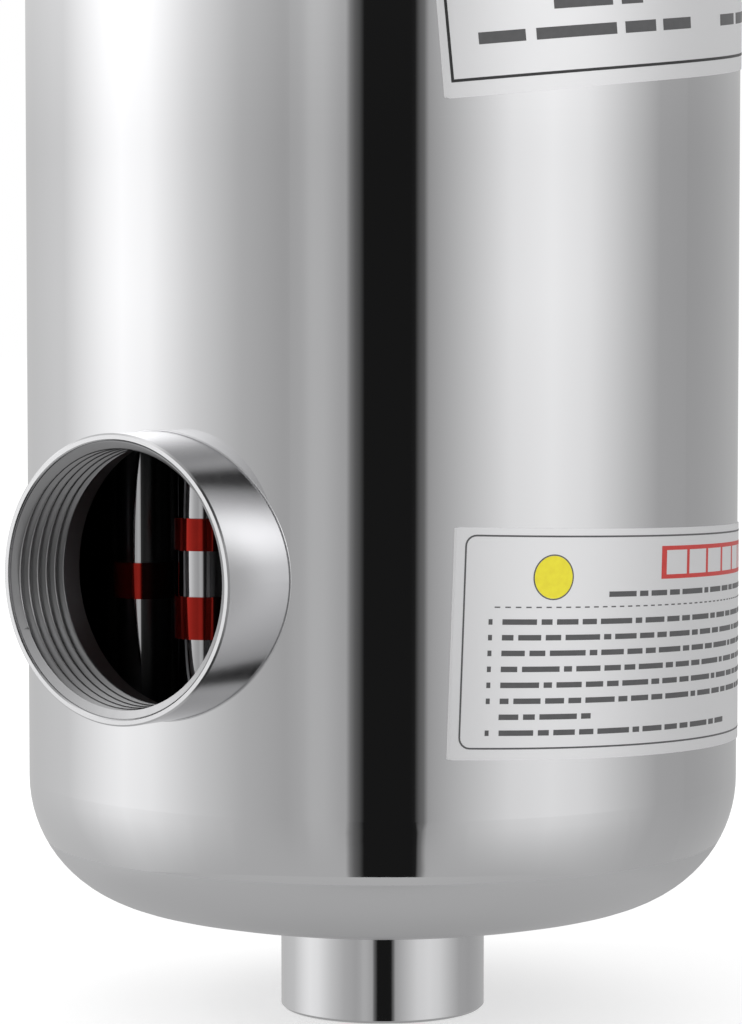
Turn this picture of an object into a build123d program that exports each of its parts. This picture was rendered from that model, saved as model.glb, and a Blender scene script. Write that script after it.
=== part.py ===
from build123d import *
import os
from math import asin, cos, radians, sin

# Pool heat exchanger: a polished stainless shell with dished ends, a straight tube bundle inside,
# two large threaded side ports for the pool water and two small threaded end ports for the boiler water.
# Millimetres. The origin is the centre of the lower end port's face, +Z runs up the shell's axis,
# and the side ports face -Y. The upper half is the lower half mirrored.

# Shell
shell_diameter = 133.0
shell_wall = 1.5
port_spacing = 254.0

# Dished heads. The tangent height is where the head's seam with the shell lies.
head_tangent_height = 44.5
head_knuckle_radius = 24.0
head_crown_radius = 212.0
head_wall = 1.5

# Side ports, internal 1 1/2 inch pipe thread: plain sockets set through round holes in the shell.
# The bore is the thread's root, and the rise is the axis's height above the seam.
side_port_rise = 41.3
side_port_diameter = 50.4
side_port_bore = 47.8
side_port_projection = 11.8
side_port_length = 19.0
side_port_edge = 0.3

# End ports, internal 1 inch pipe thread, set through the crowns of the heads
end_port_diameter = 38.4
end_port_bore = 33.2
end_port_inside = 3.4
end_port_edge = 0.5

# Gap that the weld bridges where a piece is set into another
weld_gap = 0.1

# Tube bundle
tube_diameter = 10.0
tube_wall = 0.8
tube_stub = 1.5
outer_ring_radius = 47.4
outer_ring_count = 14
outer_ring_angle = -95.8
middle_ring_radius = 30.0
middle_ring_count = 8
middle_ring_angle = -112.5
inner_ring_radius = 13.0
inner_ring_count = 3
inner_ring_angle = -90.0
tube_clearance = 0.1

# Tube sheets and baffles
sheet_thickness = 4.0
sheet_inset = 6.0
baffle_thickness = 1.5
baffle_count = 3
baffle_window = 28.0

# Red bands on two tubes, level with the side ports: tube number, height from the port's centre, length
band_wall = 0.6
band_clearance = 0.05
band_places = [(1, 6.2, 5.8), (1, -8.7, 7.6), (2, -3.4, 6.6)]

# Label films wrapped on the shell, each stuck on a little askew. The angle, and the rise above or drop
# below the lower side port's axis, are those of a film's lower left corner.
film_thickness = 0.2
film_clearance = 0.02
film_width = 150.0
film_corner = 0.3
film_stations = 7
upper_film_height = 96.0
upper_film_angle = -45.0
upper_film_rise = 81.9
upper_film_turn = 5.5
lower_film_height = 40.0
lower_film_angle = -44.6
lower_film_drop = 30.7
lower_film_turn = -2.0

shell_radius = shell_diameter / 2
side_port_height = head_tangent_height + side_port_rise
side_port_face = shell_radius + side_port_projection
upper_port_height = side_port_height + port_spacing
overall_length = 2 * side_port_height + port_spacing
middle_height = overall_length / 2
upper_film_base = side_port_height + upper_film_rise
lower_film_base = side_port_height - lower_film_drop

# The head's outside is a knuckle arc that runs tangent into the crown arc
knuckle_centre_radius = shell_radius - head_knuckle_radius
knuckle_lean = asin(knuckle_centre_radius / (head_crown_radius - head_knuckle_radius))
crown_centre_height = head_tangent_height + (head_crown_radius - head_knuckle_radius) * cos(knuckle_lean)
end_port_length = crown_centre_height - head_crown_radius + end_port_inside


def mirrored(piece):
    """The same piece at the other end of the shell."""
    return mirror(piece, Plane.XY.offset(middle_height))


def upright(radius, low, high):
    """Solid round bar on the shell's axis between two heights."""
    return Pos(0, 0, low) * Cylinder(radius, high - low, align=(Align.CENTER, Align.CENTER, Align.MIN))


def sideways(radius, height, near, far):
    """Solid round bar on a side port's axis, between two distances from the shell's axis."""
    bar = Cylinder(radius, far - near, align=(Align.CENTER, Align.CENTER, Align.MIN))
    return Pos(0, -near, height) * Rot(90, 0, 0) * bar


def shell_wall_piece():
    """Rolled tube with a round hole for each side port."""
    top = overall_length - head_tangent_height
    tube = upright(shell_radius, head_tangent_height, top)
    tube -= upright(shell_radius - shell_wall, head_tangent_height, top)
    for height in (side_port_height, upper_port_height):
        tube -= sideways(side_port_diameter / 2 + weld_gap, height, 0, side_port_face)
    return tube


def dish(offset):
    """Solid under the dished surface that lies offset inside the head's outside."""
    knuckle = head_knuckle_radius - offset
    crown = head_crown_radius - offset
    pole = (0, crown_centre_height - crown)
    join_radius = knuckle_centre_radius + knuckle * sin(knuckle_lean)
    join = (join_radius, head_tangent_height - knuckle * cos(knuckle_lean))
    rim = (shell_radius - offset, head_tangent_height)
    centre = (0, head_tangent_height)
    outline = [
        RadiusArc(pole, join, -crown),
        RadiusArc(join, rim, -knuckle),
        Line(rim, centre),
        Line(centre, pole),
    ]
    half = Plane.XZ * make_face(outline)
    return revolve(half, Axis.Z)


def lower_head_piece():
    """Pressed dished end with the end port's hole through its crown."""
    head = dish(0) - dish(head_wall)
    return head - upright(end_port_diameter / 2 + weld_gap, 0, head_tangent_height)


def lower_end_port_piece():
    """Threaded socket set through the crown of the head."""
    socket = upright(end_port_diameter / 2, 0, end_port_length)
    socket -= upright(end_port_bore / 2, 0, end_port_length)
    return chamfer(socket.edges().filter_by(GeomType.CIRCLE), end_port_edge)


def lower_side_port_piece():
    """Threaded socket set through the shell, with a square-cut inner end."""
    inner_end = side_port_face - side_port_length
    socket = sideways(side_port_diameter / 2, side_port_height, inner_end, side_port_face)
    socket -= sideways(side_port_bore / 2, side_port_height, inner_end, side_port_face)
    return chamfer(socket.edges().filter_by(GeomType.CIRCLE), side_port_edge)


def ring(radius, count, start):
    """Places evenly round a circle, going clockwise seen from above."""
    turns = [radians(start - 360 * n / count) for n in range(count)]
    return [(radius * cos(turn), radius * sin(turn)) for turn in turns]


def tube_places():
    """Centres of all the tubes, from the outer ring inwards."""
    outer = ring(outer_ring_radius, outer_ring_count, outer_ring_angle)
    middle = ring(middle_ring_radius, middle_ring_count, middle_ring_angle)
    return outer + middle + ring(inner_ring_radius, inner_ring_count, inner_ring_angle)


def pierced(plate):
    """The plate with a clearance hole for every tube."""
    hole_radius = tube_diameter / 2 + tube_clearance
    for x, y in tube_places():
        plate -= Pos(x, y, 0) * upright(hole_radius, 0, overall_length)
    return plate


def lower_tube_sheet_piece():
    """Thick round plate that the tubes end in, welded inside the shell."""
    low = head_tangent_height + sheet_inset
    return pierced(upright(shell_radius - shell_wall - weld_gap, low, low + sheet_thickness))


def baffle_piece(number):
    """Thin plate that steadies the tubes, cut away on one side to let the water round it."""
    height = side_port_height + port_spacing * number / (baffle_count + 1)
    low = height - baffle_thickness / 2
    radius = shell_radius - shell_wall - weld_gap
    plate = upright(radius, low, low + baffle_thickness)
    gap = Box(2 * radius, baffle_window, baffle_thickness, align=(Align.CENTER, Align.MIN, Align.MIN))
    cut = Pos(0, radius - baffle_window, low) * gap
    if number % 2 == 0:
        cut = Rot(0, 0, 180) * cut
    return pierced(plate - cut)


def tube_piece(place):
    """Thin-walled steel tube that passes through both sheets and stands a little proud of them."""
    low = head_tangent_height + sheet_inset - tube_stub
    tube = upright(tube_diameter / 2, low, overall_length - low)
    tube -= upright(tube_diameter / 2 - tube_wall, low, overall_length - low)
    return Pos(place[0], place[1], 0) * tube


def band_piece(number, rise, length):
    """Red sleeve pushed over one tube."""
    x, y = tube_places()[number - 1]
    inner = tube_diameter / 2 + band_clearance
    low = side_port_height + rise - length / 2
    sleeve = upright(inner + band_wall, low, low + length) - upright(inner, low, low + length)
    return Pos(x, y, 0) * sleeve


def film_piece(angle, base, height, turn):
    """Rectangular label film, turned a little, then wrapped round the shell."""
    half_wrap = film_width / shell_radius / 2
    middle = radians(angle) + half_wrap

    def wrapped(across, up):
        along = across * cos(radians(turn)) - up * sin(radians(turn))
        rise = across * sin(radians(turn)) + up * cos(radians(turn))
        return (shell_radius * sin(along / shell_radius - half_wrap), base + rise)

    stops = [film_width * n / (film_stations - 1) for n in range(film_stations)]
    low_edge = [wrapped(stop, 0) for stop in stops]
    high_edge = [wrapped(stop, height) for stop in stops]
    outline = [
        Spline(*low_edge),
        Line(low_edge[-1], high_edge[-1]),
        Spline(*high_edge),
        Line(high_edge[0], low_edge[0]),
    ]
    face = make_face(outline)
    face = fillet(face.vertices(), film_corner)
    outward = (cos(middle), sin(middle), 0)
    round_right = (-sin(middle), cos(middle), 0)
    facing = Plane(origin=(0, 0, 0), x_dir=round_right, z_dir=outward)
    prism = extrude(facing * face, shell_diameter)
    inner = shell_radius + film_clearance
    skin = upright(inner + film_thickness, 0, overall_length) - upright(inner, 0, overall_length)
    return skin & prism


def pieces():
    """Every piece of the exchanger by name."""
    made = {"shell_wall": shell_wall_piece()}
    lower = {
        "head": lower_head_piece(),
        "end_port": lower_end_port_piece(),
        "side_port": lower_side_port_piece(),
        "tube_sheet": lower_tube_sheet_piece(),
    }
    for name, piece in lower.items():
        made["lower_" + name] = piece
        made["upper_" + name] = mirrored(piece)
    for number in range(1, baffle_count + 1):
        made[f"baffle_{number}"] = baffle_piece(number)
    for number, place in enumerate(tube_places(), 1):
        made[f"tube_{number:02d}"] = tube_piece(place)
    for number, band in enumerate(band_places, 1):
        sleeve = band_piece(*band)
        made[f"lower_red_band_{number}"] = sleeve
        made[f"upper_red_band_{number}"] = mirrored(sleeve)
    made["upper_label"] = film_piece(upper_film_angle, upper_film_base, upper_film_height, upper_film_turn)
    made["lower_label"] = film_piece(lower_film_angle, lower_film_base, lower_film_height, lower_film_turn)
    return made


os.makedirs("parts", exist_ok=True)
for name, piece in pieces().items():
    export_step(piece, f"parts/{name}.step")
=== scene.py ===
from math import ceil, cos, pi, radians, sin

import bmesh
import bpy
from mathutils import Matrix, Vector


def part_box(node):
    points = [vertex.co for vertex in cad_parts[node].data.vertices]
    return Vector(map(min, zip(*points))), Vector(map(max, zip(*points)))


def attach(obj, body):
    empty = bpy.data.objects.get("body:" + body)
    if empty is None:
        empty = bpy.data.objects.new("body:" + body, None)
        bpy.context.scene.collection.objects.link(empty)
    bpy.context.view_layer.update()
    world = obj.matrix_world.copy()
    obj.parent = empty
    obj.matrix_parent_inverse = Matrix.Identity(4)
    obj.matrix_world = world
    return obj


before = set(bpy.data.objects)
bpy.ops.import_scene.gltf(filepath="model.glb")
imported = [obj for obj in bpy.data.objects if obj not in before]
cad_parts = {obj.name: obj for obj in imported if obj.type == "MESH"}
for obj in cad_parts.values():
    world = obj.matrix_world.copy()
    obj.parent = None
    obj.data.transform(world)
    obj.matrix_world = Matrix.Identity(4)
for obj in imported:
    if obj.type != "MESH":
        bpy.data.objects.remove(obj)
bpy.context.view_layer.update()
bpy.ops.object.select_all(action="DESELECT")

# Camera. The photograph was taken with a long lens from a little above the lower side port, and only
# the lower half of the exchanger is in it.
photo_height = 1024
focal_pixels = 3678.5
lens_film = 36.0
camera_place = (0.4067, -0.5590, 0.1368)
camera_down = 3.58
camera_turn = 36.22

bpy.ops.object.camera_add(
    location=camera_place,
    rotation=(radians(90 - camera_down), 0, radians(camera_turn)),
)
camera = bpy.context.object
camera.data.sensor_width = lens_film
camera.data.lens = lens_film * focal_pixels / photo_height
bpy.context.scene.camera = camera


# Shell and heads. A rolled stainless tube closed by two pressed dished heads, welded at the seams, ground
# flush and buffed to a mirror, so the faint polishing lines run round the axis. The heads' crowns keep a
# satin finish, and the tube's inside its dull mill finish.
shell_tone = (0.725, 0.725, 0.735, 1.0)
shell_gloss = (0.02, 0.04)
buffing_lines = (3.0, 3.0, 900.0)
buffing_detail = 3.0
buffing_scratch = 0.05
buffing_depth = 0.00002
shell_ripple = 9.0
ripple_detail = 1.0
ripple_share = 0.25
ripple_depth = 0.0006
mill_tone = (0.30, 0.30, 0.31, 1.0)
mill_haze = 0.38
mill_radius = 0.0658
crown_haze = 0.34
crown_radius = 0.0636
round_axis = (1, 1, 0)


def plain_finish(name, tone, metal):
    """New finish in one colour, with its nodes and its link function."""
    finish = bpy.data.materials.new(name)
    finish.use_nodes = True
    nodes = finish.node_tree.nodes
    shader = nodes["Principled BSDF"]
    shader.inputs["Base Color"].default_value = tone
    shader.inputs["Metallic"].default_value = metal
    return finish, nodes, finish.node_tree.links.new


def pattern(nodes, link, scale, detail=2.0, place=None):
    """Noise that runs through the piece, on its own coordinates or on stretched ones."""
    noise = nodes.new("ShaderNodeTexNoise")
    noise.inputs["Scale"].default_value = scale
    noise.inputs["Detail"].default_value = detail
    if place is None:
        place = nodes.new("ShaderNodeTexCoord").outputs["Object"]
    link(place, noise.inputs["Vector"])
    return noise.outputs["Fac"]


def vary_gloss(nodes, link, noise, gloss):
    """Lets a pattern vary the finish between its lowest and its highest roughness."""
    haze = nodes.new("ShaderNodeMapRange")
    haze.inputs["To Min"].default_value, haze.inputs["To Max"].default_value = gloss
    link(noise, haze.inputs["Value"])
    link(haze.outputs["Result"], nodes["Principled BSDF"].inputs["Roughness"])


def relief(nodes, link, noise, share, depth):
    """Slight relief of a pattern. Its normal is still to be linked."""
    bump = nodes.new("ShaderNodeBump")
    bump.inputs["Strength"].default_value = share
    bump.inputs["Distance"].default_value = depth
    link(noise, bump.inputs["Height"])
    return bump


def lined_steel(name, tone, gloss, lines, detail, scratch, scratch_depth):
    """Stainless steel with the fine lines of its last working, stretched along one or two axes."""
    steel, nodes, link = plain_finish(name, tone, 1.0)
    place = nodes.new("ShaderNodeTexCoord")
    stretch = nodes.new("ShaderNodeMapping")
    stretch.inputs["Scale"].default_value = lines
    link(place.outputs["Object"], stretch.inputs["Vector"])
    grain = pattern(nodes, link, 1.0, detail, stretch.outputs["Vector"])
    vary_gloss(nodes, link, grain, gloss)
    scratches = relief(nodes, link, grain, scratch, scratch_depth)
    link(scratches.outputs["Normal"], nodes["Principled BSDF"].inputs["Normal"])
    return steel, scratches


def polished_steel(name, tone, gloss, lines, ripple):
    """Mirror-buffed stainless steel with fine polishing lines and the slight unevenness of the sheet."""
    steel, scratches = lined_steel(name, tone, gloss, lines, buffing_detail, buffing_scratch, buffing_depth)
    nodes = steel.node_tree.nodes
    link = steel.node_tree.links.new
    waves = pattern(nodes, link, ripple, ripple_detail)
    uneven = relief(nodes, link, waves, ripple_share, ripple_depth)
    link(uneven.outputs["Normal"], scratches.inputs["Normal"])
    return steel


def finish_nodes(names, material):
    """Gives solid pieces their finish in place of the plain one."""
    for name in names:
        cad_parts[name].data.materials[0] = material


def reckon(nodes, operation, *numbers):
    """Math node that reckons with its first input and the fixed numbers after it."""
    node = nodes.new("ShaderNodeMath")
    node.operation = operation
    for socket, number in zip(node.inputs[1:], numbers):
        socket.default_value = number
    return node


def dull_within(finish, centre, across, radius, tone, haze):
    """Turns a finish dull nearer than a radius to an axis: across is 1 on the two axes square to it."""
    nodes = finish.node_tree.nodes
    link = finish.node_tree.links.new
    shader = nodes["Principled BSDF"]
    place = nodes.new("ShaderNodeTexCoord")
    offset = nodes.new("ShaderNodeVectorMath")
    offset.operation = "SUBTRACT"
    offset.inputs[1].default_value = centre
    flat = nodes.new("ShaderNodeVectorMath")
    flat.operation = "MULTIPLY"
    flat.inputs[1].default_value = across
    reach = nodes.new("ShaderNodeVectorMath")
    reach.operation = "LENGTH"
    inside = reckon(nodes, "LESS_THAN", radius)
    link(place.outputs["Object"], offset.inputs[0])
    link(offset.outputs["Vector"], flat.inputs[0])
    link(flat.outputs["Vector"], reach.inputs[0])
    link(reach.outputs["Value"], inside.inputs[0])
    for name, dull in (("Base Color", tone), ("Roughness", (haze, haze, haze, 1.0))):
        socket = shader.inputs[name]
        mix = nodes.new("ShaderNodeMixRGB")
        mix.inputs["Color2"].default_value = dull
        if socket.is_linked:
            link(socket.links[0].from_socket, mix.inputs["Color1"])
        else:
            mix.inputs["Color1"].default_value = socket.default_value
        link(inside.outputs["Value"], mix.inputs["Fac"])
        link(mix.outputs["Color"], socket)


head_steel = polished_steel("buffed_head_steel", shell_tone, shell_gloss, buffing_lines, shell_ripple)
shell_steel = polished_steel("buffed_shell_steel", shell_tone, shell_gloss, buffing_lines, shell_ripple)
dull_within(shell_steel, (0, 0, 0), round_axis, mill_radius, mill_tone, mill_haze)
dull_within(head_steel, (0, 0, 0), round_axis, crown_radius, shell_tone, crown_haze)
finish_nodes(["shell_wall"], shell_steel)
finish_nodes(["lower_head", "upper_head"], head_steel)


# Side ports. Turned stainless sockets welded into the shell, buffed outside, with an internal 1 1/2 inch
# pipe thread. The socket is the solid piece, its bore is left as cut, and the thread is a helical ridge on
# the bore. The thread's dull roughness is the cut finish, and its dark tone is painted shade in the
# grooves.
pipe_pitch = 0.002309
thread_depth = 0.00148
thread_steps = 72
flank_share = 0.94
crest_share = 0.2
crest_round = 0.16
thread_sunk = 0.0001
chamfer_slope = 0.4
chamfer_reach = 8 * pipe_pitch
thread_crease = radians(35)
side_port_nodes = ["lower_side_port", "upper_side_port"]
side_bore_radius = 0.0239
side_thread_mouth = 0.0004
side_thread_length = 0.0131
side_thread_turn = 0.45
side_weld = 0.00015
seam_gap = 0.00012
port_tone = (0.70, 0.70, 0.71, 1.0)
side_gloss = (0.17, 0.23)
turning_lines = (500.0, 500.0, 500.0)
port_ripple = 30.0
thread_painted_shade_tone = (0.36, 0.36, 0.365, 1.0)
cut_gloss = (0.28, 0.36)
bore_tone = (0.40, 0.40, 0.41, 1.0)
bore_haze = 0.45
bore_edge = 0.0001
weld_stations = 144


def choose(piece, test):
    """In edit mode, selects just the vertices of a piece that pass a test on their place."""
    mesh = bmesh.from_edit_mesh(piece.data)
    for vertex in mesh.verts:
        vertex.select_set(test(vertex.co))
    mesh.select_flush_mode()
    bmesh.update_edit_mesh(piece.data)


def settle(piece):
    """Leaves a finished piece at the origin, with its place in its mesh."""
    bpy.ops.object.select_all(action="DESELECT")
    piece.select_set(True)
    bpy.context.view_layer.objects.active = piece
    bpy.ops.object.transform_apply(location=True, rotation=True, scale=True)


def thread_ridge(name, bore_radius, low, high):
    """Helical ridge on an upright bore, chamfered away at both ends as a tapped mouth is."""
    turns = ceil((high - low) / pipe_pitch) + 2
    width = pipe_pitch * flank_share
    middle = bore_radius + (thread_sunk - thread_depth) / 2
    bpy.ops.mesh.primitive_plane_add(size=1, rotation=(pi / 2, 0, 0))
    ridge = bpy.context.object
    ridge.name = name
    bpy.ops.object.transform_apply(location=True, rotation=True, scale=True)
    bpy.ops.object.mode_set(mode="EDIT")
    bpy.ops.transform.resize(value=(thread_depth + thread_sunk, 1, width), center_override=(0, 0, 0))
    bpy.ops.transform.translate(value=(middle, 0, low - pipe_pitch))
    choose(ridge, lambda place: place.x < middle)
    bpy.ops.transform.resize(value=(1, 1, crest_share), center_override=(0, 0, low - pipe_pitch))
    bpy.ops.mesh.bevel(offset=thread_depth * crest_round, segments=2, affect="VERTICES")
    bpy.ops.object.mode_set(mode="OBJECT")
    screw = ridge.modifiers.new("helix", "SCREW")
    screw.screw_offset = pipe_pitch
    screw.iterations = turns
    screw.steps = thread_steps
    screw.render_steps = thread_steps
    bpy.ops.object.modifier_apply(modifier=screw.name)
    bpy.ops.object.mode_set(mode="EDIT")
    bpy.ops.mesh.select_all(action="SELECT")
    bpy.ops.mesh.fill_holes(sides=12)
    bpy.ops.mesh.normals_make_consistent(inside=False)
    bpy.ops.object.mode_set(mode="OBJECT")
    tip = thread_depth + 3 * thread_sunk
    wide = bore_radius + 2 * thread_sunk + chamfer_reach
    narrow = bore_radius + 2 * thread_sunk - tip
    for height, way in ((low, 1), (high, -1)):
        bpy.ops.mesh.primitive_cone_add(
            vertices=2 * thread_steps,
            radius1=wide if way > 0 else narrow,
            radius2=narrow if way > 0 else wide,
            depth=chamfer_slope * (chamfer_reach + tip),
            location=(0, 0, height + way * chamfer_slope * (tip - chamfer_reach) / 2),
        )
        chamfer = bpy.context.object
        cut = ridge.modifiers.new("chamfer", "BOOLEAN")
        cut.object = chamfer
        cut.operation = "DIFFERENCE"
        cut.solver = "MANIFOLD"
        bpy.context.view_layer.objects.active = ridge
        bpy.ops.object.modifier_apply(modifier=cut.name)
        bpy.data.objects.remove(chamfer)
    ridge.data.materials.clear()
    settle(ridge)
    bpy.ops.object.shade_smooth_by_angle(angle=thread_crease)
    return ridge


def weld_bead(name, radius, place, turn, target, bead):
    """Fine bead where a socket meets the surface that it is set through: a circle dropped on it."""
    bpy.ops.mesh.primitive_circle_add(vertices=weld_stations, radius=radius, location=place, rotation=turn)
    seam = bpy.context.object
    seam.name = name
    drop = seam.modifiers.new("drop", "SHRINKWRAP")
    drop.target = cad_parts[target]
    drop.wrap_method = "PROJECT"
    drop.use_project_z = True
    drop.use_negative_direction = True
    drop.use_positive_direction = False
    bpy.ops.object.modifier_apply(modifier=drop.name)
    bpy.ops.object.convert(target="CURVE")
    seam.data.bevel_depth = bead
    seam.data.bevel_resolution = 3
    bpy.ops.object.convert(target="MESH")
    seam = bpy.context.object
    settle(seam)
    bpy.ops.object.mode_set(mode="EDIT")
    bpy.ops.mesh.select_all(action="SELECT")
    bpy.ops.mesh.remove_doubles(threshold=0.00001)
    bpy.ops.mesh.normals_make_consistent(inside=False)
    bpy.ops.object.mode_set(mode="OBJECT")
    bpy.ops.object.shade_smooth()
    return seam


# Painted shade: the thread's tone is set darker than bare steel to stand for the shade in its grooves.
thread_steel_painted_shade = polished_steel("thread_steel_with_painted_shade", thread_painted_shade_tone, cut_gloss, turning_lines, port_ripple)
for port in side_port_nodes:
    low_corner, high_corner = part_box(port)
    port_axis_height = (low_corner.z + high_corner.z) / 2
    port_radius = (high_corner.x - low_corner.x) / 2
    steel_name = "buffed_" + port + "_steel"
    side_steel = polished_steel(steel_name, port_tone, side_gloss, turning_lines, port_ripple)
    bore_centre = (0, 0, port_axis_height)
    dull_within(side_steel, bore_centre, (1, 0, 1), side_bore_radius + bore_edge, bore_tone, bore_haze)
    finish_nodes([port], side_steel)
    thread = thread_ridge(
        port + "_thread",
        side_bore_radius,
        side_thread_mouth,
        side_thread_mouth + side_thread_length,
    )
    thread.rotation_euler = (-pi / 2, side_thread_turn, 0)
    thread.location = (0, low_corner.y, port_axis_height)
    settle(thread)
    bead = weld_bead(
        port + "_weld",
        port_radius + seam_gap,
        (0, low_corner.y, port_axis_height),
        (pi / 2, 0, 0),
        "shell_wall",
        side_weld,
    )
    for piece, steel in ((thread, thread_steel_painted_shade), (bead, side_steel)):
        piece.data.materials.append(steel)
        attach(piece, "root")


# End ports. Shorter turned stainless sockets, buffed brighter than the side ports and welded into the
# crowns of the heads, with an internal 1 inch pipe thread.
end_bore_radius = 0.0166
end_thread_mouth = 0.0015
end_thread_length = 0.0155
end_weld = 0.00015
end_gloss = (0.04, 0.07)

end_steel = polished_steel("buffed_end_port_steel", port_tone, end_gloss, turning_lines, port_ripple)
dull_within(end_steel, (0, 0, 0), round_axis, end_bore_radius + bore_edge, bore_tone, bore_haze)
finish_nodes(["lower_end_port", "upper_end_port"], end_steel)
for end, facing in (("lower", 0), ("upper", pi)):
    low_corner, high_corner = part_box(end + "_end_port")
    face_height = high_corner.z if facing else low_corner.z
    thread = thread_ridge(
        end + "_end_port_thread",
        end_bore_radius,
        end_thread_mouth,
        end_thread_mouth + end_thread_length,
    )
    thread.rotation_euler = (facing, 0, 0)
    thread.location = (0, 0, face_height)
    settle(thread)
    bead = weld_bead(
        end + "_end_port_weld",
        high_corner.x + seam_gap,
        (0, 0, face_height),
        (pi - facing, 0, 0),
        end + "_head",
        end_weld,
    )
    for piece, steel in ((thread, thread_steel_painted_shade), (bead, end_steel)):
        piece.data.materials.append(steel)
        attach(piece, "root")


# Tube sheets and baffles. Stainless plate, laser-cut to a disc with a hole for each tube and left with its
# brushed mill finish. The sheets are welded inside the shell, and the baffles hang on the tubes.
plate_tone = (0.56, 0.56, 0.57, 1.0)
plate_haze = (0.28, 0.42)
plate_lines = (30.0, 1500.0, 1500.0)
plate_scratch = 0.2
brushing_detail = 4.0
brushing_depth = 0.00005


def brushed_steel(name, tone, gloss, lines, scratch):
    """Stainless steel with the straight fine lines of a brushed or drawn surface."""
    return lined_steel(name, tone, gloss, lines, brushing_detail, scratch, brushing_depth)[0]


plate_steel = brushed_steel("brushed_plate_steel", plate_tone, plate_haze, plate_lines, plate_scratch)
finish_nodes(["lower_tube_sheet", "upper_tube_sheet", "baffle_1", "baffle_2", "baffle_3"], plate_steel)


# Tubes. Thin drawn stainless tubes with faint lines along their length, each welded round its end to the
# outer face of both tube sheets. Nearer the bundle's middle than a set radius the tubes are painted dark
# and dull, as painted shade inside the bundle, so only their outer sides keep the bright steel.
tube_tone = (0.62, 0.62, 0.63, 1.0)
bundle_painted_shade_tone = (0.13, 0.13, 0.132, 1.0)
bundle_painted_shade_haze = 0.32
bundle_painted_shade_centre = (0.0018, -0.0011, 0)
bundle_painted_shade_reach = 0.0496
tube_haze = (0.05, 0.08)
tube_lines = (1500.0, 1500.0, 20.0)
tube_scratch = 0.02
tube_weld = 0.0003

tube_nodes = sorted(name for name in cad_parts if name.startswith("tube_"))
tube_steel = brushed_steel("drawn_tube_steel", tube_tone, tube_haze, tube_lines, tube_scratch)
# Painted shade: the tubes turn dark and dull nearer the bundle's middle than a set radius.
dull_within(tube_steel, bundle_painted_shade_centre, round_axis, bundle_painted_shade_reach, bundle_painted_shade_tone, bundle_painted_shade_haze)
finish_nodes(tube_nodes, tube_steel)
for end, side in (("lower", 0), ("upper", 1)):
    sheet_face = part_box(end + "_tube_sheet")[side].z
    rings = []
    for tube in tube_nodes:
        low_corner, high_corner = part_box(tube)
        tube_centre = (low_corner + high_corner) / 2
        bpy.ops.mesh.primitive_torus_add(
            major_segments=32,
            minor_segments=8,
            major_radius=(high_corner.x - low_corner.x) / 2,
            minor_radius=tube_weld,
            location=(tube_centre.x, tube_centre.y, sheet_face),
        )
        rings.append(bpy.context.object)
    bpy.ops.object.select_all(action="DESELECT")
    for ring in rings:
        ring.select_set(True)
    bpy.context.view_layer.objects.active = rings[0]
    bpy.ops.object.join()
    welds = bpy.context.object
    welds.name = end + "_tube_welds"
    settle(welds)
    bpy.ops.object.shade_smooth()
    welds.data.materials.append(plate_steel)
    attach(welds, "root")


# Red bands. Short sleeves of clear red plastic, shrunk tight over two of the tubes, so that the bright
# steel under them throws its reflections back in red. Nearer the bundle's middle they are painted near
# black, as painted shade inside the bundle, as the tubes are.
band_red = (0.42, 0.022, 0.014, 1.0)
band_deep_red = (0.34, 0.018, 0.012, 1.0)
band_painted_shade = (0.030, 0.006, 0.005, 1.0)
band_haze = (0.08, 0.10)
band_metal = 0.9
band_mottle = 400.0
band_nodes = [end + f"_red_band_{number}" for end in ("lower", "upper") for number in (1, 2, 3)]


def mottled(nodes, link, noise, tone, other_tone):
    """Lets a pattern vary the colour of a finish between two tones."""
    mix = nodes.new("ShaderNodeMixRGB")
    mix.inputs["Color1"].default_value = tone
    mix.inputs["Color2"].default_value = other_tone
    link(noise, mix.inputs["Fac"])
    link(mix.outputs["Color"], nodes["Principled BSDF"].inputs["Base Color"])


red_plastic, red_nodes, red_link = plain_finish("red_band_plastic", band_red, band_metal)
red_pattern = pattern(red_nodes, red_link, band_mottle)
mottled(red_nodes, red_link, red_pattern, band_red, band_deep_red)
vary_gloss(red_nodes, red_link, red_pattern, band_haze)
# Painted shade: the bands turn near black and dull nearer the bundle's middle than a set radius.
dull_within(red_plastic, bundle_painted_shade_centre, round_axis, bundle_painted_shade_reach, band_painted_shade, bundle_painted_shade_haze)
finish_nodes(band_nodes, red_plastic)


# Label films. Two sheets of satin silver self-adhesive film with a metallic sheen, cut to a rectangle and
# stuck on the shell a little askew.
film_tone = (0.80, 0.80, 0.81, 1.0)
film_metal = 0.55
film_haze = (0.30, 0.40)
film_grain = 2500.0

silver_film, film_nodes, film_link = plain_finish("satin_silver_film", film_tone, film_metal)
vary_gloss(film_nodes, film_link, pattern(film_nodes, film_link, film_grain), film_haze)
finish_nodes(["lower_label", "upper_label"], silver_film)


# Label printing. Ink on the films in a plain layout without words: a border line, blank rows in place of
# text, and on the lower film a yellow spot and a red heading. Each print is laid out flat, then wrapped.
shell_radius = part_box("shell_wall")[1].x
ink_sunk = 0.00021
ink_height = 0.00004
ink_haze = 0.42
ink_grain = 900.0
ink_thin_share = 1.25
ink_thin_lift = 0.01
ink_crease = radians(30)
wrap_step = 0.002


def ink(name, tone):
    """Satin printing ink, a little paler where its coat is thin."""
    colour, nodes, link = plain_finish(name, (*tone, 1.0), 0.0)
    thin = [min(1.0, part * ink_thin_share + ink_thin_lift) for part in tone]
    mottled(nodes, link, pattern(nodes, link, ink_grain), (*tone, 1.0), (*thin, 1.0))
    nodes["Principled BSDF"].inputs["Roughness"].default_value = ink_haze
    return colour


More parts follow.
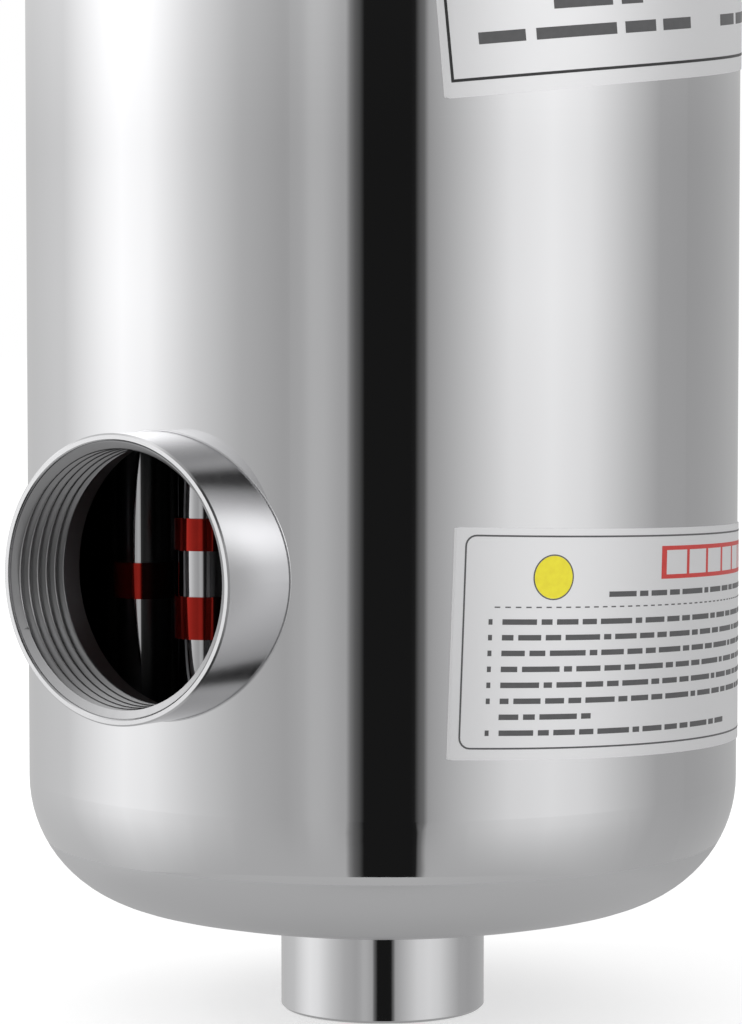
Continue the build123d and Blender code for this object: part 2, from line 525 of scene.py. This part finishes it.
def patch(left, low, width, height):
    """Flat rectangle of ink that faces -Y, in millimetres from the film's lower left corner."""
    bpy.ops.mesh.primitive_plane_add(size=1, rotation=(pi / 2, 0, 0))
    area = bpy.context.object
    area.location = ((left + width / 2) / 1000, 0, (low + height / 2) / 1000)
    area.scale = (width / 1000, height / 1000, 1)
    settle(area)
    return area


def outline(left, low, width, height, corner, line):
    """Line round a rectangle with round corners."""
    border = patch(left, low, width, height)
    bpy.ops.object.mode_set(mode="EDIT")
    bpy.ops.mesh.select_all(action="SELECT")
    if corner:
        bpy.ops.mesh.bevel(offset=corner / 1000, segments=6, affect="VERTICES")
    bpy.ops.mesh.select_all(action="SELECT")
    bpy.ops.mesh.inset(thickness=line / 1000)
    bpy.ops.mesh.delete(type="FACE")
    bpy.ops.object.mode_set(mode="OBJECT")
    return border


def disc(across, up, radius):
    """Round spot of ink."""
    bpy.ops.mesh.primitive_circle_add(
        vertices=48, radius=radius / 1000, fill_type="NGON", rotation=(pi / 2, 0, 0)
    )
    spot = bpy.context.object
    spot.location = (across / 1000, 0, up / 1000)
    settle(spot)
    return spot


def ring_line(across, up, radius, line):
    """Line round a spot of ink."""
    ring = disc(across, up, radius)
    bpy.ops.object.mode_set(mode="EDIT")
    bpy.ops.mesh.select_all(action="SELECT")
    bpy.ops.mesh.inset(thickness=line / 1000)
    bpy.ops.mesh.delete(type="FACE")
    bpy.ops.object.mode_set(mode="OBJECT")
    return ring


def wrap_print(name, shapes, film, colour):
    """Joins flat shapes, turns them with the film, and bends them round the shell as one thin coat."""
    bpy.ops.object.select_all(action="DESELECT")
    for shape in shapes:
        shape.select_set(True)
    bpy.context.view_layer.objects.active = shapes[0]
    if len(shapes) > 1:
        bpy.ops.object.join()
    coat = bpy.context.object
    coat.name = name
    left_angle, film_base, film_turn = film
    coat.rotation_euler = (0, -radians(film_turn), 0)
    coat.location = (shell_radius * radians(left_angle + 90), -ink_sunk, film_base)
    settle(coat)
    left = min(vertex.co.x for vertex in coat.data.vertices)
    right = max(vertex.co.x for vertex in coat.data.vertices)
    bpy.ops.object.mode_set(mode="EDIT")
    for number in range(1, int((right - left) / wrap_step) + 1):
        bpy.ops.mesh.select_all(action="SELECT")
        bpy.ops.mesh.bisect(plane_co=(left + number * wrap_step, 0, 0), plane_no=(1, 0, 0))
    bpy.ops.object.mode_set(mode="OBJECT")
    thicken = coat.modifiers.new("thicken", "SOLIDIFY")
    thicken.thickness = ink_height
    thicken.offset = 1
    bpy.ops.object.modifier_apply(modifier=thicken.name)
    bend = coat.modifiers.new("bend", "SIMPLE_DEFORM")
    bend.deform_method = "BEND"
    bend.deform_axis = "Z"
    bend.angle = (right - left) / shell_radius
    bpy.ops.object.modifier_apply(modifier=bend.name)
    coat.location = (0, -shell_radius, 0)
    settle(coat)
    bpy.ops.object.shade_smooth_by_angle(angle=ink_crease)
    coat.data.materials.append(colour)
    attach(coat, "root")


def blank_words(left, right, low, height, widths, gap):
    """Row of plain bars of word length, cut off at the row's end."""
    bars = []
    number = 0
    while left < right:
        width = min(widths[number % len(widths)], right - left)
        bars.append(patch(left, low, width, height))
        left += width + gap
        number += 1
    return bars


grey_ink = ink("grey_label_ink", (0.075, 0.075, 0.078))
black_ink = ink("black_label_ink", (0.012, 0.012, 0.013))
yellow_ink = ink("yellow_label_ink", (0.86, 0.72, 0.02))
red_ink = ink("red_label_ink", (0.50, 0.03, 0.025))

# Each film by its left edge's angle in degrees, its lower edge's height in metres and its turn in degrees.
lower_film = (-44.6, 0.0551, -2.0)
upper_film = (-45.0, 0.1677, 5.5)

lower_border = outline(2.0, 1.9, 146.0, 36.9, 2.0, 0.30)
wrap_print("lower_label_border", [lower_border], lower_film, grey_ink)

spot_place = (18.5, 31.6)
spot_radius = 3.7
spot_line_radius = 3.95
wrap_print("lower_label_spot", [disc(*spot_place, spot_radius)], lower_film, yellow_ink)
spot_line = ring_line(*spot_place, spot_line_radius, 0.22)
wrap_print("lower_label_spot_line", [spot_line], lower_film, grey_ink)

heading_low = 31.5
heading_height = 4.8
heading_field = 7.2
heading = [outline(43.1, 31.0, 63.8, 5.8, 0, 0.75), patch(43.6, heading_low, 0.9, heading_height)]
for number in range(8):
    heading.append(patch(50.9 + heading_field * number, heading_low, 0.8, heading_height))
wrap_print("lower_label_heading", heading, lower_film, red_ink)

dash_step = 1.93
dashes = [patch(7.6 + dash_step * number, 26.3, 1.0, 0.22) for number in range(70)]
wrap_print("lower_label_dashes", dashes, lower_film, grey_ink)

row_height = 0.95
word_widths = [6.4, 2.1, 4.3, 3.0, 7.2, 1.6, 5.1, 3.7, 2.6]
word_gap = 0.9
mark_left = 6.6
mark_width = 0.7
row_left = 9.1
rows = blank_words(30.2, 119.8, 28.1, row_height, word_widths, word_gap)
row_ends = [(23.4, 142.0), (20.7, 138.0), (18.0, 141.0), (15.25, 136.0), (12.5, 142.0), (9.75, 139.0)]
for number, (low, right) in enumerate(row_ends):
    shifted = word_widths[number:] + word_widths[:number]
    rows.append(patch(mark_left, low, mark_width, row_height))
    rows += blank_words(row_left, right, low, row_height, shifted, word_gap)
rows += blank_words(9.0, 26.9, 7.0, row_height, [3.6, 2.2, 7.4], word_gap)
rows.append(patch(mark_left, 4.25, mark_width, row_height))
rows += blank_words(row_left, 68.5, 4.25, row_height, word_widths, word_gap)
wrap_print("lower_label_rows", rows, lower_film, grey_ink)

rating_step = 8.6
rating_height = 2.0
rating_gap = 2.0
rating_left = 66.2
upper_border = outline(1.5, 2.6, 147.0, 91.0, 0, 0.5)
wrap_print("upper_label_border", [upper_border], upper_film, black_ink)
rating = blank_words(6.9, 54.1, 8.6, rating_height, [8.5, 16.5, 7.6, 8.4], rating_gap)
rating += blank_words(rating_left, 113.0, 8.6, rating_height, [8.5, 13.5, 9.0, 8.4], rating_gap)
for number in range(1, 9):
    row_low = 5.0 + rating_step * number
    rating += blank_words(21.2, 40.5, row_low, rating_height, [12.2, 5.2], rating_gap)
    rating += blank_words(rating_left, 118.0, row_low, rating_height, [14.0, 9.0, 11.0], rating_gap)
wrap_print("upper_label_rows", rating, upper_film, grey_ink)


# Studio. A tent of soft panels round the vessel that only the polished metal sees: two bright soft boxes,
# left and right of the lens, fading to grey cloth towards the ground, and a narrow black flag in front.
# Towards the ground the panels spread, so that their edges stay straight in the rounded head. The tent
# glows and lights nothing, so its bright and dark bands in the steel are painted reflections.
studio_level = 1.4
lens_bearing = 53.96
tent_radius = 3.0
tent_height = 0.12
low_cloth = 0.50
low_cloth_depth = 2.5
low_cloth_rise = 0.8
low_spread = 0.55
low_spread_depth = 2.72
low_spread_rise = 4.5
flag_tone = 0.011
height_tones = [
    (0.0, 0.60),
    (0.525, 0.60),
    (0.56, 0.74),
    (0.635, 1.02),
    (0.67, 1.06),
    (0.705, 0.96),
    (0.735, 0.81),
    (0.765, 0.55),
    (1.0, 0.50),
]
height_level = 1 / 0.60
panel_tones = [
    (-180, 0.52),
    (-150, 0.64),
    (-120, 0.80),
    (-98, 1.25),
    (-90, 1.36),
    (-78, 1.26),
    (-60, 0.82),
    (-44, 0.54),
    (-30, 0.43),
    (-25, 0.48),
    (-22, 0.56),
    (-18, 0.55),
    (-12, 0.43),
    (12, 0.36),
    (15, 0.40),
    (28, 0.71),
    (40, 1.0),
    (54, 1.11),
    (67, 1.0),
    (84, 0.66),
    (97, 0.44),
    (115, 0.395),
    (145, 0.47),
]
flag_cover = [
    (-180, 0.0),
    (-11, 0.0),
    (-9.4, 0.70),
    (-7.3, 0.77),
    (-6.4, 1.0),
    (9.8, 1.0),
    (10.8, 0.75),
    (12.6, 0.60),
    (14.2, 0.0),
]


def grey_ramp(nodes, tones):
    """Colour ramp with a grey stop at each place."""
    ramp = nodes.new("ShaderNodeValToRGB")
    stops = ramp.color_ramp.elements
    while len(stops) > 1:
        stops.remove(stops[-1])
    for number, (place, tone) in enumerate(tones):
        stop = stops[0] if number == 0 else stops.new(place)
        stop.position = place
        stop.color = (tone, tone, tone, 1.0)
    return ramp


def bearing_ramp(nodes, bearings, scale):
    """Grey ramp with a stop at each bearing from the lens line, rightwards."""
    return grey_ramp(nodes, [((bearing + 180) / 360, tone / scale) for bearing, tone in bearings])


def share_between(nodes, start, end):
    """Node that turns a height into its share of the way from start to end."""
    share = nodes.new("ShaderNodeMapRange")
    share.inputs["From Min"].default_value = start
    share.inputs["From Max"].default_value = end
    return share


def covered_with(nodes, tone):
    """Mix node that covers its first colour with a grey."""
    mix = nodes.new("ShaderNodeMixRGB")
    mix.inputs["Color2"].default_value = (tone, tone, tone, 1.0)
    return mix


def glowing(name):
    """Material that only shines, with its nodes, its link function and its glow."""
    cloth = bpy.data.materials.new(name)
    cloth.use_nodes = True
    nodes = cloth.node_tree.nodes
    link = cloth.node_tree.links.new
    nodes.remove(nodes["Principled BSDF"])
    glow = nodes.new("ShaderNodeEmission")
    link(glow.outputs["Emission"], nodes["Material Output"].inputs["Surface"])
    return cloth, nodes, link, glow


def show_in_metal_only(name, cloth):
    """Finishes the new stage piece as one that only polished metal sees."""
    piece = bpy.context.object
    piece.name = name
    piece.visible_camera = False
    piece.visible_diffuse = False
    piece.visible_shadow = False
    piece.data.materials.append(cloth)


bpy.ops.mesh.primitive_uv_sphere_add(
    segments=64, ring_count=32, radius=tent_radius, location=(0, 0, tent_height)
)
tent_cloth, tent_nodes, tent_link, tent_glow = glowing("tent_panels")
tent_place = tent_nodes.new("ShaderNodeTexCoord")
tent_parts = tent_nodes.new("ShaderNodeSeparateXYZ")
tent_link(tent_place.outputs["Object"], tent_parts.inputs["Vector"])

# The bearing from the lens line, drawn in towards it near the ground.
tent_turn = tent_nodes.new("ShaderNodeMapping")
tent_turn.inputs["Rotation"].default_value = (0.0, 0.0, radians(lens_bearing))
tent_round = tent_nodes.new("ShaderNodeTexGradient")
tent_round.gradient_type = "RADIAL"
spread = share_between(tent_nodes, 0.0, -low_spread_depth)
spread_curve = reckon(tent_nodes, "POWER", low_spread_rise)
spread_times = reckon(tent_nodes, "MULTIPLY_ADD", low_spread, 1.0)
off_lens = reckon(tent_nodes, "SUBTRACT", 0.5)
drawn_in = reckon(tent_nodes, "DIVIDE")
bearing_share = reckon(tent_nodes, "ADD", 0.5)
tent_link(tent_place.outputs["Object"], tent_turn.inputs["Vector"])
tent_link(tent_turn.outputs["Vector"], tent_round.inputs["Vector"])
tent_link(tent_round.outputs["Fac"], off_lens.inputs[0])
tent_link(tent_parts.outputs["Z"], spread.inputs["Value"])
tent_link(spread.outputs["Result"], spread_curve.inputs[0])
tent_link(spread_curve.outputs["Value"], spread_times.inputs[0])
tent_link(off_lens.outputs["Value"], drawn_in.inputs[0])
tent_link(spread_times.outputs["Value"], drawn_in.inputs[1])
tent_link(drawn_in.outputs["Value"], bearing_share.inputs[0])

# The panels, the grey cloth below them, and the flag over both.
panels = bearing_ramp(tent_nodes, panel_tones, studio_level)
cloth_depth = share_between(tent_nodes, 0.0, -low_cloth_depth)
cloth_share = reckon(tent_nodes, "POWER", low_cloth_rise)
cloth_mix = covered_with(tent_nodes, low_cloth / studio_level)
flag = bearing_ramp(tent_nodes, flag_cover, 1.0)
flag_mix = covered_with(tent_nodes, flag_tone / studio_level)
tent_link(bearing_share.outputs["Value"], panels.inputs["Fac"])
tent_link(tent_parts.outputs["Z"], cloth_depth.inputs["Value"])
tent_link(cloth_depth.outputs["Result"], cloth_share.inputs[0])
tent_link(cloth_share.outputs["Value"], cloth_mix.inputs["Fac"])
tent_link(panels.outputs["Color"], cloth_mix.inputs["Color1"])
tent_link(bearing_share.outputs["Value"], flag.inputs["Fac"])
tent_link(flag.outputs["Color"], flag_mix.inputs["Fac"])
tent_link(cloth_mix.outputs["Color"], flag_mix.inputs["Color1"])
tent_link(flag_mix.outputs["Color"], tent_glow.inputs["Color"])

# The panels' level by height.
height_share = share_between(tent_nodes, -tent_radius, tent_radius)
by_height = grey_ramp(tent_nodes, height_tones)
tent_level = reckon(tent_nodes, "MULTIPLY", studio_level * height_level)
tent_link(tent_parts.outputs["Z"], height_share.inputs["Value"])
tent_link(height_share.outputs["Result"], by_height.inputs["Fac"])
tent_link(by_height.outputs["Color"], tent_level.inputs[0])
tent_link(tent_level.outputs["Value"], tent_glow.inputs["Strength"])
show_in_metal_only("studio_tent", tent_cloth)


# Card. A round grey card under the vessel, a little darker in its middle than at its rim, that shows in
# the lower head alone. It glows and lights nothing: it is a painted reflection of the floor, and its
# darker middle is painted shadow of the vessel on the floor.
card_radius = 0.099
card_height = -0.020
# Painted shadow: the card's glow falls towards its middle, standing for the vessel's shadow in the head.
card_painted_shadow_tones = [(0.0, 0.53), (0.15, 0.52), (0.45, 0.49), (0.7, 0.43), (1.0, 0.40)]

bpy.ops.mesh.primitive_circle_add(
    vertices=128, radius=card_radius, location=(0, 0, card_height), fill_type="NGON"
)
reflection_card_glow, card_nodes, card_link, card_glow = glowing("painted_reflection_card")
card_place = card_nodes.new("ShaderNodeTexCoord")
card_scale = card_nodes.new("ShaderNodeMapping")
card_scale.inputs["Scale"].default_value = (1 / card_radius, 1 / card_radius, 1 / card_radius)
card_round = card_nodes.new("ShaderNodeTexGradient")
card_round.gradient_type = "SPHERICAL"
card_ramp = grey_ramp(card_nodes, card_painted_shadow_tones)
card_link(card_place.outputs["Object"], card_scale.inputs["Vector"])
card_link(card_scale.outputs["Vector"], card_round.inputs["Vector"])
card_link(card_round.outputs["Color"], card_ramp.inputs["Fac"])
card_link(card_ramp.outputs["Color"], card_glow.inputs["Color"])
show_in_metal_only("studio_painted_reflection_card", reflection_card_glow)


# Floor. Pale and matt, with its own faint glow where it is seen, so that it comes out near white and still
# keeps the vessel's soft shadow. The polished metal shows the tent in its place.
floor_radius = 6.0
floor_height = -0.0002
floor_glow = 0.45
floor_tone = (0.80, 0.80, 0.80, 1.0)
floor_haze = 0.9


def seen_as_background(nodes, link):
    """1 for what the camera, metal and glass see, and 0 for the light that falls on the vessel."""
    rays = nodes.new("ShaderNodeLightPath")
    in_metal = reckon(nodes, "MAXIMUM")
    in_glass = reckon(nodes, "MAXIMUM")
    link(rays.outputs["Is Camera Ray"], in_metal.inputs[0])
    link(rays.outputs["Is Glossy Ray"], in_metal.inputs[1])
    link(in_metal.outputs["Value"], in_glass.inputs[0])
    link(rays.outputs["Is Transmission Ray"], in_glass.inputs[1])
    return in_glass.outputs["Value"]


floor_paint, floor_nodes, floor_link = plain_finish("pale_floor", floor_tone, 0.0)
floor_shader = floor_nodes["Principled BSDF"]
floor_shader.inputs["Roughness"].default_value = floor_haze
floor_shader.inputs["Specular IOR Level"].default_value = 0.0
floor_shader.inputs["Emission Color"].default_value = (1.0, 1.0, 1.0, 1.0)
floor_seen = reckon(floor_nodes, "MULTIPLY", floor_glow)
floor_link(seen_as_background(floor_nodes, floor_link), floor_seen.inputs[0])
floor_link(floor_seen.outputs["Value"], floor_shader.inputs["Emission Strength"])

bpy.ops.mesh.primitive_circle_add(
    vertices=128, radius=floor_radius, location=(0, 0, floor_height), fill_type="NGON"
)
floor = bpy.context.object
floor.name = "studio_floor"
floor.visible_glossy = False
floor.data.materials.append(floor_paint)


# Lamps. Two large soft boxes and an even pale surround, at a level where a colour renders about as it is
# written. The camera, metal and glass see the surround as white.
surround_level = 0.75
key_power = 9.0
fill_power = 5.0
lamp_size = 1.2
lamp_tilt = 0.45

world = bpy.data.worlds.new("studio_surround")
bpy.context.scene.world = world
world.use_nodes = True
world_nodes = world.node_tree.nodes
world_link = world.node_tree.links.new
surround = world_nodes["Background"]
surround.inputs["Color"].default_value = (1.0, 1.0, 1.0, 1.0)
world_level = world_nodes.new("ShaderNodeMapRange")
world_level.inputs["To Min"].default_value = surround_level
world_level.inputs["To Max"].default_value = 1.0
world_link(seen_as_background(world_nodes, world_link), world_level.inputs["Value"])
world_link(world_level.outputs["Result"], surround.inputs["Strength"])

for name, bearing, reach, height, power in (
    ("left_soft_box", -75, 1.6, 1.1, key_power),
    ("right_soft_box", 50, 1.8, 1.0, fill_power),
):
    plan = radians(bearing - lens_bearing)
    bpy.ops.object.light_add(
        type="AREA",
        location=(reach * cos(plan), reach * sin(plan), height),
        rotation=(pi / 2 - lamp_tilt, 0, plan + pi / 2),
    )
    lamp = bpy.context.object
    lamp.name = name
    lamp.data.size = lamp_size
    lamp.data.energy = power
    lamp.visible_glossy = False

bpy.context.scene.view_settings.view_transform = "Standard"
